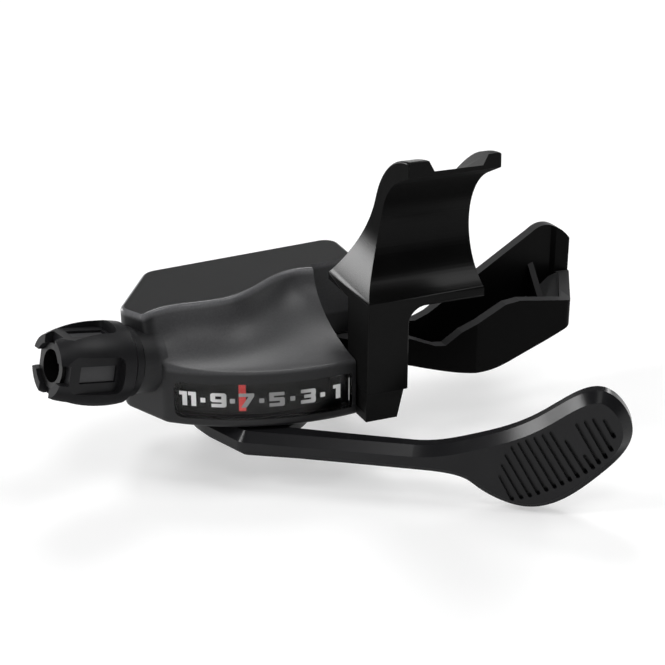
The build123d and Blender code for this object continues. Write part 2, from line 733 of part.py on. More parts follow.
def cable_drum():
    top = DRUM_Z + DRUM_HEIGHT
    drum = rod(PIVOT, DRUM_R, DRUM_Z, top)
    drum -= prism(disc(PIVOT, DRUM_R + 1) - disc(PIVOT, GROOVE_R), DRUM_Z + DRUM_FLANGE, top - DRUM_FLANGE)
    drum -= rod(polar(NIPPLE_ORBIT, NIPPLE_ANGLE, PIVOT), NIPPLE_R, DRUM_Z + DRUM_FLANGE, top + 1)
    drum -= prism(disc(PIVOT, SPRING_ROOM_R) - disc(PIVOT, DRUM_HUB_R), top - SPRING_ROOM_DEPTH, top + 1)
    distance, bearing = drive_line()
    pin = polar(DRIVE_PIN_ORBIT, bearing + DRIVE_REST, PIVOT)
    drum += rod(pin, DRIVE_PIN_R, top - DRUM_FLANGE / 2, NEEDLE_ARM_TOP_Z)
    return drum - rod(PIVOT, AXLE_R + RUN, DRUM_Z - 1, top + 1)


def ratchet_plate():
    """Saw teeth, one for each step of the index, all round the plate."""
    count = round(360 / INDEX_STEP)
    pitch = 360 / count
    points = []
    for tooth in range(count):
        angle = tooth * pitch
        points.append(polar(RATCHET_R - RATCHET_DEPTH, angle, PIVOT))
        points.append(polar(RATCHET_R, angle + pitch * TOOTH_START, PIVOT))
        points.append(polar(RATCHET_R, angle + pitch * TOOTH_END, PIVOT))
    face = make_face(Polyline(*points, close=True)) - disc(PIVOT, AXLE_R + RUN)
    return prism(face, RATCHET_Z, DRUM_Z)


def drum_spring():
    """Flat strip wound from the drum's hub out to its rim."""
    steps = 18
    low = DRUM_HUB_R + SPRING_STRIP
    high = SPRING_ROOM_R - 2 * SPRING_STRIP
    inner = []
    outer = []
    for step in range(steps + 1):
        radius = low + (high - low) * step / steps
        angle = 360 * SPRING_TURNS * step / steps
        inner.append(polar(radius, angle, PIVOT))
        outer.append(polar(radius + SPRING_STRIP, angle, PIVOT))
    strip = make_face([
        Spline(*inner),
        Line(inner[-1], outer[-1]),
        Spline(*reversed(outer)),
        Line(outer[0], inner[0]),
    ])
    top = DRUM_Z + DRUM_HEIGHT
    return prism(strip, top - SPRING_ROOM_DEPTH, top - SPRING_STRIP)


def winding_pin_place():
    return polar(WINDING_PAWL_ORBIT, WINDING_PAWL_ANGLE, PIVOT)


def lever_plate():
    outline = strap((PIVOT, BOSS_R), (winding_pin_place(), PAWL_HUB_R))
    holes = disc(PIVOT, AXLE_R + RUN) + disc(winding_pin_place(), PAWL_PIN_R + SEAT)
    return prism(outline - holes, LEVER_PLATE_Z, LEVER_PLATE_Z + LEVER_PLATE_THICK)


def winding_pawl_pin():
    return rod(winding_pin_place(), PAWL_PIN_R, LEVER_PLATE_Z, DRUM_Z + LEVEL_GAP)


def winding_pawl():
    beak = polar(RATCHET_R + PAWL_GAP + PAWL_TIP_R, WINDING_PAWL_ANGLE + WINDING_BEAK_TURN, PIVOT)
    outline = strap((winding_pin_place(), PAWL_HUB_R), (beak, PAWL_TIP_R))
    return prism(outline - disc(winding_pin_place(), PAWL_PIN_R + RUN), RATCHET_Z, DRUM_Z)


def holding_pawl_pin():
    return rod(PAWL_PIVOT, PAWL_PIN_R, BASE_Z, NEEDLE_ARM_TOP_Z)


def holding_pawl():
    beak = polar(RATCHET_R + PAWL_GAP + PAWL_TIP_R, HOLDING_BEAK_ANGLE, PIVOT)
    outline = strap((PAWL_PIVOT, PAWL_HUB_R), (HOLDING_TAIL, HOLDING_TAIL_R))
    outline += strap((PAWL_PIVOT, PAWL_HUB_R), (beak, PAWL_TIP_R))
    return prism(outline - disc(PAWL_PIVOT, PAWL_PIN_R + RUN), RATCHET_Z, DRUM_Z)


def pawl_spring():
    """Leaf from the side of a frame post to the back of the holding pawl's hub."""
    x, y = FRAME_POSTS[1]
    start = x + POST_R + SEAT
    end = PAWL_PIVOT[0] - PAWL_HUB_R - FREE
    leaf = make_face(Polyline(
        (start, y),
        (end, PAWL_PIVOT[1]),
        (end, PAWL_PIVOT[1] + LEAF_THICK),
        (start, y + LEAF_THICK),
        close=True,
    ))
    return prism(leaf, RATCHET_Z, DRUM_Z)


def coil(centre, radius, wire, turns, low):
    """Close-wound torsion spring of flat wire."""
    pitch = wire * COIL_PITCH
    path = Pos(*centre, low + wire / 2) * Helix(pitch, pitch * turns, radius)
    start = path.edges()[0]
    profile = Plane(start @ 0, x_dir=(0, 0, 1), z_dir=start % 0) * Rectangle(wire, wire)
    return sweep(profile, path=start)


def lever_spring():
    return coil(PIVOT, LEVER_COIL_R, LEVER_WIRE, LEVER_COIL_TURNS, HUB_BOTTOM_Z + HUB_FLOOR + SEAT)


def release_spring():
    low = RELEASE_LOW_Z + RELEASE_ARM_THICK + SEAT
    return coil(RELEASE_PIVOT, RELEASE_COIL_R, RELEASE_WIRE, RELEASE_COIL_TURNS, low)


def release_pin():
    return rod(RELEASE_PIVOT, RELEASE_PIN_R, BASE_Z, FRAME_TOP_Z)


# Thumb lever

def lever_frame():
    """Local frame of the thumb lever: x runs along it, y away from the rider."""
    turn = math.radians(LEVER_TURN)
    return Plane((PIVOT[0], PIVOT[1], 0), x_dir=(math.cos(turn), math.sin(turn), 0), z_dir=(0, 0, 1))


def lever_side():
    """Outline of the lever, seen by the rider: x along the lever, y up."""
    start = -2 * HUB_R
    return make_face([
        Line((start, HUB_TOP_Z), (0, HUB_TOP_Z)),
        Line((0, HUB_TOP_Z), NECK_TOP),
        Spline(NECK_TOP, *PAD_OUTLINE, NECK_LOW, tangents=((1, 0), (-1, 0.05))),
        Line(NECK_LOW, (HUB_R, HUB_BOTTOM_Z)),
        Line((HUB_R, HUB_BOTTOM_Z), (start, HUB_BOTTOM_Z)),
        Line((start, HUB_BOTTOM_Z), (start, HUB_TOP_Z)),
    ])


def lever_plan():
    """The lever from above: a round head with the arm along its rider's side."""
    head = strap(((0, 0), HUB_R), (SHOULDER, SHOULDER_R))
    start = SHOULDER[0]
    arm = make_face([
        Line((start, -ARM_FRONT), (start, ARM_THICK - ARM_FRONT)),
        Spline((start, ARM_THICK - ARM_FRONT), (PAD_START, ARM_BACK), (PAD_END, PAD_THICK - PAD_FRONT)),
        Line((PAD_END, PAD_THICK - PAD_FRONT), (PAD_END, -PAD_FRONT)),
        Spline((PAD_END, -PAD_FRONT), (PAD_MIDDLE, PAD_DISH - PAD_FRONT), (start, -ARM_FRONT)),
    ])
    return head + arm


def main_lever():
    lever = rider_view(lever_side()) & prism(lever_plan(), -REACH, 0)
    lever = chamfer(lever_edges(lever, ARM_THICK - ARM_FRONT, PAD_THICK - PAD_FRONT), BACK_BEVEL)
    lever = chamfer(lever_edges(lever, -ARM_FRONT, -PAD_FRONT), FRONT_BEVEL)
    for upper, lower in GROOVES:
        lever -= pad_groove(upper, lower)
    lever = lever_frame() * lever
    lever += rod(PIVOT, BOSS_R, HUB_TOP_Z - 1, LEVER_PLATE_Z)
    room = disc(PIVOT, HUB_ROOM_R) - disc(PIVOT, HUB_TUBE_R)
    lever -= prism(room, HUB_BOTTOM_Z + HUB_FLOOR, LEVER_PLATE_Z + 1)
    return lever - rod(PIVOT, AXLE_R + RUN, HUB_BOTTOM_Z - 1, LEVER_PLATE_Z + 1)


def lever_edges(lever, neck_y, pad_y):
    """Edges along one side of the lever: round the pad, and above and below the neck."""
    tip = max(PAD_OUTLINE)
    above = (NECK_TOP[0] / 2, neck_y, HUB_TOP_Z)
    below = ((HUB_R + NECK_LOW[0]) / 2, neck_y, (HUB_BOTTOM_Z + NECK_LOW[1]) / 2)
    places = ((tip[0], pad_y, tip[1]), above, below)
    return [lever.edges().sort_by_distance(place)[0] for place in places]


def pad_groove(upper, lower):
    """One groove of the pad with round ends."""
    groove = strap((upper, GROOVE_WIDTH / 2), (lower, GROOVE_WIDTH / 2))
    depth = PAD_FRONT - PAD_DISH - GROOVE_DEPTH
    return Pos(0, -depth, 0) * (Plane.XZ * extrude(groove, REACH))


# Release lever

def release_scoop():
    """Hollow finger lever: a tall paddle at the back, a low wall towards the rider, a floor between."""
    plan = make_face(Polyline(*SCOOP_PLAN, close=True))
    rounded = prism(fillet(plan.vertices(), SCOOP_CORNER_R), -REACH, 0)
    outline = make_face([Spline(*SCOOP_UNDER), Spline(*SCOOP_END), Polyline(*SCOOP_TOP)])
    whole = rounded & rider_view(outline)
    above_rim = make_face(Polyline(
        (-REACH, RIM_TOP[0][1]),
        *RIM_TOP,
        (REACH, RIM_TOP[-1][1]),
        (REACH, REACH),
        (-REACH, REACH),
        close=True,
    ))
    before_paddle = make_face(Polyline(
        *PADDLE_FRONT,
        (REACH, PADDLE_FRONT[-1][1]),
        (REACH, -REACH),
        (PADDLE_FRONT[0][0], -REACH),
        close=True,
    ))
    scoop = whole - (rider_view(above_rim) & prism(before_paddle, -REACH, REACH))
    hollow = prism(offset(plan, -SCOOP_WALL, kind=Kind.INTERSECTION), -REACH, 0)
    floor = Spline(*[(x, z + SCOOP_FLOOR) for x, z in SCOOP_UNDER])
    first, last = floor @ 0, floor @ 1
    around = ((REACH, last.Y), (REACH, REACH), (-REACH, REACH), (-REACH, first.Y))
    above_floor = make_face([floor, Polyline(last, *around, first)])
    scoop -= hollow & rider_view(above_floor)
    back = PADDLE_FRONT[-1][1] + SCOOP_WALL
    front = back - RIB_DEPTH
    corners = ((back, RIB_TOP_Z), (back, -REACH), (front, -REACH), (front, RIB_FRONT_Z))
    rib = make_face(Polyline(*corners, close=True))
    across = Plane((RIB_X, 0, 0), x_dir=(0, 1, 0), z_dir=(1, 0, 0))
    return scoop + (across * extrude(rib, RIB_THICK) & whole)


def release_lever():
    arm_top = RELEASE_LOW_Z + RELEASE_ARM_THICK
    arm = strap((RELEASE_PIVOT, RELEASE_BOSS_R), (RELEASE_ARM_END, RELEASE_BOSS_R))
    tail = strap((RELEASE_PIVOT, RELEASE_TAIL_ROOT_R), (RELEASE_TAIL, RELEASE_TAIL_R))
    lever = prism(arm, RELEASE_LOW_Z, arm_top) + release_scoop()
    lever += prism(tail, RATCHET_Z, DRUM_Z)
    return lever - rod(RELEASE_PIVOT, RELEASE_PIN_R + RUN, -REACH, 0)


# Cable adjuster

def adjuster_knob():
    """Turned body with four flutes; the ribs between them run on as lugs at the open end."""
    shoulder = (KNOB_R - KNOB_SHOULDER_IN, KNOB_SHOULDER)
    profile = make_face([
        Polyline((0, 0), (KNOB_ROOT_R, 0), (KNOB_ROOT_R, KNOB_ROOT), shoulder),
        Spline(shoulder, (KNOB_R, KNOB_BELLY), (KNOB_TAPER_R, KNOB_TAPER), (KNOB_END_R, KNOB_LENGTH)),
        Polyline((KNOB_END_R, KNOB_LENGTH), (0, KNOB_LENGTH), (0, 0)),
    ])
    knob = revolve(Plane.XZ * profile, Axis.Z)
    flute = block((CORE_R + FLUTE_FLOOR, REACH), (-FLUTE_WIDTH / 2, FLUTE_WIDTH / 2), (FLUTE_START, REACH))
    flute = fillet(flute.edges().filter_by(Axis.X), FLUTE_CORNER_R)
    gap = block((0, REACH), (-LUG_GAP / 2, LUG_GAP / 2), (KNOB_LENGTH - LUG_LENGTH, REACH))
    slot = key_block(KEY_CLEAR)
    for turn in range(4):
        knob -= Rot(0, 0, 90 * turn) * flute + Rot(0, 0, 90 * turn) * gap + Rot(0, 0, 90 * turn) * slot
    knob -= Cylinder(CORE_R + SEAT, 3 * REACH)
    return adjuster_plane(NECK_LENGTH) * knob


def key_block(grow):
    """Key between the knob and its core, along +X, enlarged by grow."""
    half_width = KEY_WIDTH / 2 + grow
    half_length = KEY_LENGTH / 2 + grow
    x = (CORE_R - KEY_HEIGHT, CORE_R + KEY_HEIGHT + REACH * grow)
    return block(x, (-half_width, half_width), (KEY_MIDDLE - half_length, KEY_MIDDLE + half_length))


def adjuster_core():
    end = NECK_LENGTH + KNOB_LENGTH - CORE_SHORT
    core = adjuster_rod(CORE_R, -CORE_INSIDE, end)
    for turn in range(4):
        core += adjuster_plane(NECK_LENGTH) * (Rot(0, 0, 90 * turn) * key_block(0))
    core -= adjuster_rod(CASING_R, end - CASING_DEPTH, end + 1)
    return core - adjuster_rod(CABLE_R, -CORE_INSIDE - 1, end)


def adjuster_spring():
    """Thin click ring between the knob and the housing's neck."""
    ring = Circle(CORE_R + RING_WIDTH) - Circle(CORE_R + SEAT)
    return adjuster_plane(NECK_LENGTH - FREE + RING_CLEAR) * extrude(ring, FREE - 2 * RING_CLEAR)


NODES = (
    upper_cover,
    base_cover,
    clamp_bracket,
    bracket_screw,
    cover_screws,
    indicator_lens,
    indicator_scale,
    indicator_needle,
    main_axle,
    axle_washer,
    frame_plate,
    frame_posts,
    cable_drum,
    ratchet_plate,
    drum_spring,
    lever_plate,
    winding_pawl,
    winding_pawl_pin,
    holding_pawl,
    holding_pawl_pin,
    pawl_spring,
    lever_spring,
    release_spring,
    release_pin,
    main_lever,
    release_lever,
    adjuster_knob,
    adjuster_core,
    adjuster_spring,
)

os.makedirs("parts", exist_ok=True)
for node in NODES:
    export_step(node(), f"parts/{node.__name__}.step")
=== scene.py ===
# %% [markdown]
# # A trigger gear shifter
# The part clamps to the right end of a flat handlebar. Its solids come ready from the CAD model, in
# metres, and stay where they are. This lesson gives every one of them a finish, cuts a longer seat into
# a copy of the clamp bracket, prints the dial's numbers on the curved strip, and sets up a soft studio.

# %% Load the frame
import json
import math
import bmesh
import bpy
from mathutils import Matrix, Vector


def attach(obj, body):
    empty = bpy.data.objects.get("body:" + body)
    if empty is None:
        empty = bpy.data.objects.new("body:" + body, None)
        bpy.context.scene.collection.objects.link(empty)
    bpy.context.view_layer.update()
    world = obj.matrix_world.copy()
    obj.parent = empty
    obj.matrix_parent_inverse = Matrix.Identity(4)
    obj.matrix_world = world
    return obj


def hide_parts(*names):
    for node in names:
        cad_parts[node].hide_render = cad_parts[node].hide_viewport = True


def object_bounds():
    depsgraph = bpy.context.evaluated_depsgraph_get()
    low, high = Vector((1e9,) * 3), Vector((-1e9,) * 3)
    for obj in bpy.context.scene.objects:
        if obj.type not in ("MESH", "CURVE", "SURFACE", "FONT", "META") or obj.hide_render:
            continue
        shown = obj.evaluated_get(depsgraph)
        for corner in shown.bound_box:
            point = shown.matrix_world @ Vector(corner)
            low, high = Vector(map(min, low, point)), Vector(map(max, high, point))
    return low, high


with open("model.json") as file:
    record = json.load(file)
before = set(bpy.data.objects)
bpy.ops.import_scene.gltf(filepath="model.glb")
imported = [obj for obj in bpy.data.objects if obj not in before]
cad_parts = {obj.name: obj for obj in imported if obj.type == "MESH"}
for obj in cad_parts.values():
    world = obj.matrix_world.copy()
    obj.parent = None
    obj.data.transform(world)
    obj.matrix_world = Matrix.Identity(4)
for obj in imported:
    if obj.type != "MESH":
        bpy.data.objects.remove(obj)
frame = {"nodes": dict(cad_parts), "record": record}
cad_box = [list(map(float, corner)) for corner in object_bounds()]
MM = 0.001
collection = bpy.context.scene.collection


def place_shape(name, shape):
    """Object at the origin with the shape as its mesh. The shape is used up."""
    mesh = bpy.data.meshes.new(name)
    shape.to_mesh(mesh)
    shape.free()
    piece = bpy.data.objects.new(name, mesh)
    collection.objects.link(piece)
    return piece


print("nodes:", len(frame["nodes"]), "box:", cad_box)

# %% [markdown]
# ## The camera
# The photograph looks down at the shifter from the rider's left. The lens is long, so the clamp and
# the lever keep their proportions. The picture is 665 pixels wide; the lens follows from its focal
# length in pixels and the width of the sensor.

# %% Camera
PICTURE = 665
FOCAL_PIXELS = 1500.0
SENSOR = 36.0
CAMERA_PLACE = Vector((-103.69, -202.86, 83.47)) * MM
CAMERA_LOOK = Vector((0.343, 0.850, -0.399))

camera_data = bpy.data.cameras.new("photo_camera")
camera_data.sensor_width = SENSOR
camera_data.lens = FOCAL_PIXELS * SENSOR / PICTURE
camera_data.clip_start = 0.01
camera = bpy.data.objects.new("photo_camera", camera_data)
camera.location = CAMERA_PLACE
camera.rotation_euler = CAMERA_LOOK.to_track_quat("-Z", "Y").to_euler()
collection.objects.link(camera)
bpy.context.scene.camera = camera
print("lens:", round(camera_data.lens, 2), "mm")

# %% [markdown]
# ## Finishes
# Nearly everything here is black, so the eye tells the pieces apart by how they shine. Each finish is
# one Principled shader. In most of them the colour wavers a little through a noise, and a fine bump
# breaks up the highlights. The noise reads Object coordinates, in metres, so a grain of a quarter of a
# millimetre has a scale of about four thousand. Values that are the same all over sit on the sockets.

# %% A helper for every finish
def start_finish(name, roughness, specular, metallic=0.0):
    material = bpy.data.materials.new(name)
    material.use_nodes = True
    nodes = material.node_tree.nodes
    shader = nodes["Principled BSDF"]
    shader.inputs["Roughness"].default_value = roughness
    shader.inputs["Specular IOR Level"].default_value = specular
    shader.inputs["Metallic"].default_value = metallic
    coordinates = nodes.new("ShaderNodeTexCoord")
    return material, shader, coordinates


def add_noise(material, coordinates, scale, detail):
    noise = material.node_tree.nodes.new("ShaderNodeTexNoise")
    noise.inputs["Scale"].default_value = scale
    noise.inputs["Detail"].default_value = detail
    material.node_tree.links.new(coordinates.outputs["Object"], noise.inputs["Vector"])
    return noise


def add_tint(material, shader, noise, dark, light):
    ramp = material.node_tree.nodes.new("ShaderNodeValToRGB")
    ramp.color_ramp.elements[0].position = 0.3
    ramp.color_ramp.elements[0].color = (*dark, 1.0)
    ramp.color_ramp.elements[1].position = 0.7
    ramp.color_ramp.elements[1].color = (*light, 1.0)
    links = material.node_tree.links
    links.new(noise.outputs["Fac"], ramp.inputs["Fac"])
    links.new(ramp.outputs["Color"], shader.inputs["Base Color"])


def add_bump(material, shader, noise, depth, strength):
    bump = material.node_tree.nodes.new("ShaderNodeBump")
    bump.inputs["Distance"].default_value = depth
    bump.inputs["Strength"].default_value = strength
    links = material.node_tree.links
    links.new(noise.outputs["Fac"], bump.inputs["Height"])
    links.new(bump.outputs["Normal"], shader.inputs["Normal"])


print("finish helpers are ready")

# %% [markdown]
# ### Masks
# One moulding often has more than one texture, and a mask says where each begins. Masks here also say where
# painted light and shade go. Every mask is a smooth step of a coordinate, of a distance or of the direction
# that a face looks, all of them in the piece's own space.

# %% Helpers for masks
# Sockets of a Mix node: the factor, the two numbers and the two colours, and its two results
MIX_FACTOR = 0
NUMBER_UNDER = 2
NUMBER_OVER = 3
COLOUR_UNDER = 6
COLOUR_OVER = 7
NUMBER_RESULT = 0
COLOUR_RESULT = 2


def split_axes(material, vector):
    axes = material.node_tree.nodes.new("ShaderNodeSeparateXYZ")
    material.node_tree.links.new(vector, axes.inputs["Vector"])
    return axes.outputs


def vector_step(material, operation, vector, other=None):
    """One vector operation. A dot product or a length comes out as a number."""
    step = material.node_tree.nodes.new("ShaderNodeVectorMath")
    step.operation = operation
    material.node_tree.links.new(vector, step.inputs[0])
    if other is not None:
        step.inputs[1].default_value = other
    return step.outputs["Value" if operation in ("DOT_PRODUCT", "LENGTH") else "Vector"]


def smooth_step(material, value, start, end):
    """Zero at start and one at end, which may be the lower of the two."""
    step = material.node_tree.nodes.new("ShaderNodeMapRange")
    step.interpolation_type = "SMOOTHSTEP"
    step.inputs["From Min"].default_value = start
    step.inputs["From Max"].default_value = end
    material.node_tree.links.new(value, step.inputs["Value"])
    return step.outputs["Result"]


def both(material, first, second):
    product = material.node_tree.nodes.new("ShaderNodeMath")
    product.operation = "MULTIPLY"
    material.node_tree.links.new(first, product.inputs[0])
    material.node_tree.links.new(second, product.inputs[1])
    return product.outputs["Value"]


def layer_value(material, under, over, mask):
    """A number: over where the mask is one, and under elsewhere. Under may be another layer."""
    mix = material.node_tree.nodes.new("ShaderNodeMix")
    if isinstance(under, float):
        mix.inputs[NUMBER_UNDER].default_value = under
    else:
        material.node_tree.links.new(under, mix.inputs[NUMBER_UNDER])
    mix.inputs[NUMBER_OVER].default_value = over
    material.node_tree.links.new(mask, mix.inputs[MIX_FACTOR])
    return mix.outputs[NUMBER_RESULT]


def layer_grey(material, under, over, mask):
    """A colour, layered in the same way."""
    mix = material.node_tree.nodes.new("ShaderNodeMix")
    mix.data_type = "RGBA"
    if isinstance(under, tuple):
        mix.inputs[COLOUR_UNDER].default_value = (*under, 1.0)
    else:
        material.node_tree.links.new(under, mix.inputs[COLOUR_UNDER])
    mix.inputs[COLOUR_OVER].default_value = (*over, 1.0)
    material.node_tree.links.new(mask, mix.inputs[MIX_FACTOR])
    return mix.outputs[COLOUR_RESULT]


print("mask helpers are ready")

# %% [markdown]
# ### Plastics and paint
# The thumb lever is smooth on the sides that a hand meets, and matt underneath, where the mould's texture
# stays. The clamp casting is painted satin black, with a matt end face. The knob is lightly grained.

# %% Plastics and paint
MATT = 0.95
# Faces that are matt: the axis that they look along, where the matt begins and where it is full
UNDERSIDE = ("Z", -0.15, -0.5)
END_FACE = ("X", -0.95, -0.99)
FINE_TINT = 6 * MM
SATIN_GRAIN = 0.3 * MM
SATIN_DEPTH = 0.01 * MM
SATIN_STRENGTH = 0.15
BLACK = (0.003, 0.003, 0.003)
NEAR_BLACK = (0.004, 0.004, 0.004)


def grained(name, dark, light, roughness, specular, grain_mm, depth_mm, strength, matt_faces=()):
    """Moulded or painted surface: a slow waver in the colour and a fine grain in the bump."""
    material, shader, coordinates = start_finish(name, roughness, specular)
    add_tint(material, shader, add_noise(material, coordinates, 1 / FINE_TINT, 4.0), dark, light)
    grain = add_noise(material, coordinates, 1 / (grain_mm * MM), 3.0)
    add_bump(material, shader, grain, depth_mm * MM, strength)
    layered = roughness
    for axis, start, end in matt_faces:
        facing = split_axes(material, coordinates.outputs["Normal"])[axis]
        layered = layer_value(material, layered, MATT, smooth_step(material, facing, start, end))
    if matt_faces:
        material.node_tree.links.new(layered, shader.inputs["Roughness"])
    return material


base_grain = grained("base_grain", NEAR_BLACK, (0.006, 0.006, 0.006), 0.5, 0.1, 0.22, 0.02, 0.3)
bracket_satin = grained("bracket_satin", BLACK, NEAR_BLACK, 0.25, 0.08, 0.35, 0.01, 0.15,
                        (UNDERSIDE, END_FACE))
lever_satin = grained("lever_satin", (0.008, 0.008, 0.009), (0.011, 0.011, 0.012), 0.2, 0.2,
                      0.25, 0.008, 0.12, (UNDERSIDE,))
knob_grain = grained("knob_grain", (0.009, 0.009, 0.010), (0.014, 0.014, 0.015), 0.38, 0.16,
                     0.2, 0.02, 0.25, (UNDERSIDE,))
scale_black = grained("scale_black", BLACK, NEAR_BLACK, 0.5, 0.2, 0.3, 0.01, 0.1)
acetal = grained("acetal", (0.55, 0.55, 0.53), (0.63, 0.63, 0.60), 0.4, 0.5, 0.4, 0.01, 0.1)
needle_red = grained("needle_red", (0.93, 0.065, 0.06), (1.0, 0.08, 0.075), 0.35, 0.5, 0.4, 0.005, 0.05)
plastics = (base_grain, bracket_satin, lever_satin, knob_grain, scale_black, acetal, needle_red)
print("plastics:", [material.name for material in plastics])

# %% [markdown]
# ### The release lever
# This lever is black, with a painted highlight on the rims that look up, where its walls end.

# %% The release lever
RIM_BEGINS = 0.45
RIM_SURE = 0.75
RELEASE_BLACK = (0.0025, 0.0025, 0.0025)
RELEASE_RIM_HIGHLIGHT = (0.04, 0.04, 0.041)

release_satin, release_shader, release_places = start_finish("release_satin", 0.36, 0.04)
release_up = split_axes(release_satin, release_places.outputs["Normal"])["Z"]
on_lit_rims = smooth_step(release_satin, release_up, RIM_BEGINS, RIM_SURE)
# The rims that look up are painted paler: a painted highlight from the lamps above
painted_rim_highlight = layer_grey(release_satin, RELEASE_BLACK, RELEASE_RIM_HIGHLIGHT, on_lit_rims)
release_satin.node_tree.links.new(painted_rim_highlight, release_shader.inputs["Base Color"])
release_grain = add_noise(release_satin, release_places, 1 / SATIN_GRAIN, 3.0)
add_bump(release_satin, release_shader, release_grain, SATIN_DEPTH, SATIN_STRENGTH)
print("release lever nodes:", len(release_satin.node_tree.nodes))

# %% [markdown]
# ### The housing
# The moulding is coloured in four zones, which are lit and shaded copies of one plastic. Its walls are dark,
# painted shade, and rough. The cove in front of the deck is paler, painted light, and a little smoother, the
# deck is the darkest, painted shade, and the rim round the deck is the palest, a painted highlight, and the
# smoothest.
# The deck leans a little, so its height is measured square to it.

# %% The housing
DECK_LEAN = math.tan(math.radians(2.5))
DECK_LEVEL = -11.56 * MM
RIM_DEPTH = 0.9 * MM
LIP_LEVEL = -21.8 * MM
COVE_LEFT = -45.0 * MM
SOFT = 0.8 * MM
SLOPE = 0.96
LEVEL = 0.995
# Colour of each zone, which is painted light and shade, and its roughness
PAINTED_LIGHT_ZONES = {
    "wall": ((0.012, 0.012, 0.013), 0.5),
    "cove": ((0.046, 0.046, 0.048), 0.4),
    "rim": ((0.11, 0.11, 0.115), 0.3),
    "deck": ((0.007, 0.007, 0.0075), 0.36),
}

cover_grain_and_painted_light, cover_shader, cover_places = start_finish("cover_grain_and_painted_light", 0.45, 0.3)
spot = split_axes(cover_grain_and_painted_light, cover_places.outputs["Object"])
facing = split_axes(cover_grain_and_painted_light, cover_places.outputs["Normal"])
height = vector_step(cover_grain_and_painted_light, "DOT_PRODUCT", cover_places.outputs["Object"], (-DECK_LEAN, 0.0, 1.0))

facing_up = smooth_step(cover_grain_and_painted_light, facing["Z"], SLOPE, LEVEL)
sloping = smooth_step(cover_grain_and_painted_light, facing["Z"], LEVEL, SLOPE)
at_deck = smooth_step(cover_grain_and_painted_light, height, DECK_LEVEL - SOFT, DECK_LEVEL - SOFT / 4)
on_deck = both(cover_grain_and_painted_light, facing_up, at_deck)
at_rim = smooth_step(cover_grain_and_painted_light, height, DECK_LEVEL - RIM_DEPTH - SOFT / 2, DECK_LEVEL - RIM_DEPTH / 2)
on_rim = both(cover_grain_and_painted_light, sloping, at_rim)
above_lip = smooth_step(cover_grain_and_painted_light, spot["Z"], LIP_LEVEL - SOFT, LIP_LEVEL)
right_of_neck = smooth_step(cover_grain_and_painted_light, spot["X"], COVE_LEFT - SOFT, COVE_LEFT + SOFT)
not_right = smooth_step(cover_grain_and_painted_light, facing["X"], 0.85, 0.6)
not_left = smooth_step(cover_grain_and_painted_light, facing["X"], -0.85, -0.6)
not_back = smooth_step(cover_grain_and_painted_light, facing["Y"], 0.3, 0.1)
in_cove = above_lip
for mask in (right_of_neck, not_right, not_left, not_back):
    in_cove = both(cover_grain_and_painted_light, in_cove, mask)

# The zones' colours are painted light and shade: a painted highlight on the rim, painted shade on the deck
# and walls
shade, gloss = PAINTED_LIGHT_ZONES["wall"]
for zone, mask in (("cove", in_cove), ("rim", on_rim), ("deck", on_deck)):
    colour, roughness = PAINTED_LIGHT_ZONES[zone]
    shade = layer_grey(cover_grain_and_painted_light, shade, colour, mask)
    gloss = layer_value(cover_grain_and_painted_light, gloss, roughness, mask)
cover_grain_and_painted_light.node_tree.links.new(gloss, cover_shader.inputs["Roughness"])
print("zones of the housing:", list(PAINTED_LIGHT_ZONES))

# %% [markdown]
# #### Its spark texture
# A fine noise makes the colour waver from grain to grain, and a second one raises the grain itself.

# %% Spark texture of the housing
SPECKLE = 0.35 * MM
SPARK = 0.22 * MM
DIMMEST = 0.7
BRIGHTEST = 1.3

speckle = add_noise(cover_grain_and_painted_light, cover_places, 1 / SPECKLE, 4.0)
brightness = cover_grain_and_painted_light.node_tree.nodes.new("ShaderNodeMapRange")
brightness.inputs["To Min"].default_value = DIMMEST
brightness.inputs["To Max"].default_value = BRIGHTEST
cover_grain_and_painted_light.node_tree.links.new(speckle.outputs["Fac"], brightness.inputs["Value"])
waver = cover_grain_and_painted_light.node_tree.nodes.new("ShaderNodeHueSaturation")
cover_grain_and_painted_light.node_tree.links.new(brightness.outputs["Result"], waver.inputs["Value"])
cover_grain_and_painted_light.node_tree.links.new(shade, waver.inputs["Color"])
cover_grain_and_painted_light.node_tree.links.new(waver.outputs["Color"], cover_shader.inputs["Base Color"])
spark = add_noise(cover_grain_and_painted_light, cover_places, 1 / SPARK, 3.0)
add_bump(cover_grain_and_painted_light, cover_shader, spark, 0.03 * MM, 0.35)
print("housing nodes:", len(cover_grain_and_painted_light.node_tree.nodes))

# %% [markdown]
# ### The adjuster's core
# The core is painted black where the cable's casing goes in, painted shade for the deep bore, and the four
# keys that show through the knob are grey. The keys are the part that lies furthest from the adjuster's axis,
# which its joint gives.

# %% The adjuster's core
KEY_START = 3.9 * MM
KEY_SURE = 4.1 * MM
KEY_GREY = (0.042, 0.042, 0.044)
joints = frame["record"]["behaviour"]["joints"]
adjuster = next(joint for joint in joints if joint["name"] == "adjuster_turn")

core_grey, core_shader, core_places = start_finish("core_grey", 0.36, 0.3)
arm = vector_step(core_grey, "SUBTRACT", core_places.outputs["Object"], adjuster["pos_m"])
square_arm = vector_step(core_grey, "CROSS_PRODUCT", arm, adjuster["axis"])
from_axis = vector_step(core_grey, "LENGTH", square_arm)
on_keys = smooth_step(core_grey, from_axis, KEY_START, KEY_SURE)
# The black within the keys' reach is painted shade in the bore; the keys keep their own grey
bore_shade_and_keys = layer_grey(core_grey, BLACK, KEY_GREY, on_keys)
core_grey.node_tree.links.new(bore_shade_and_keys, core_shader.inputs["Base Color"])
core_grain = add_noise(core_grey, core_places, 1 / SATIN_GRAIN, 3.0)
add_bump(core_grey, core_shader, core_grain, SATIN_DEPTH, SATIN_STRENGTH)
print("keys start", KEY_START, "m from the axis")

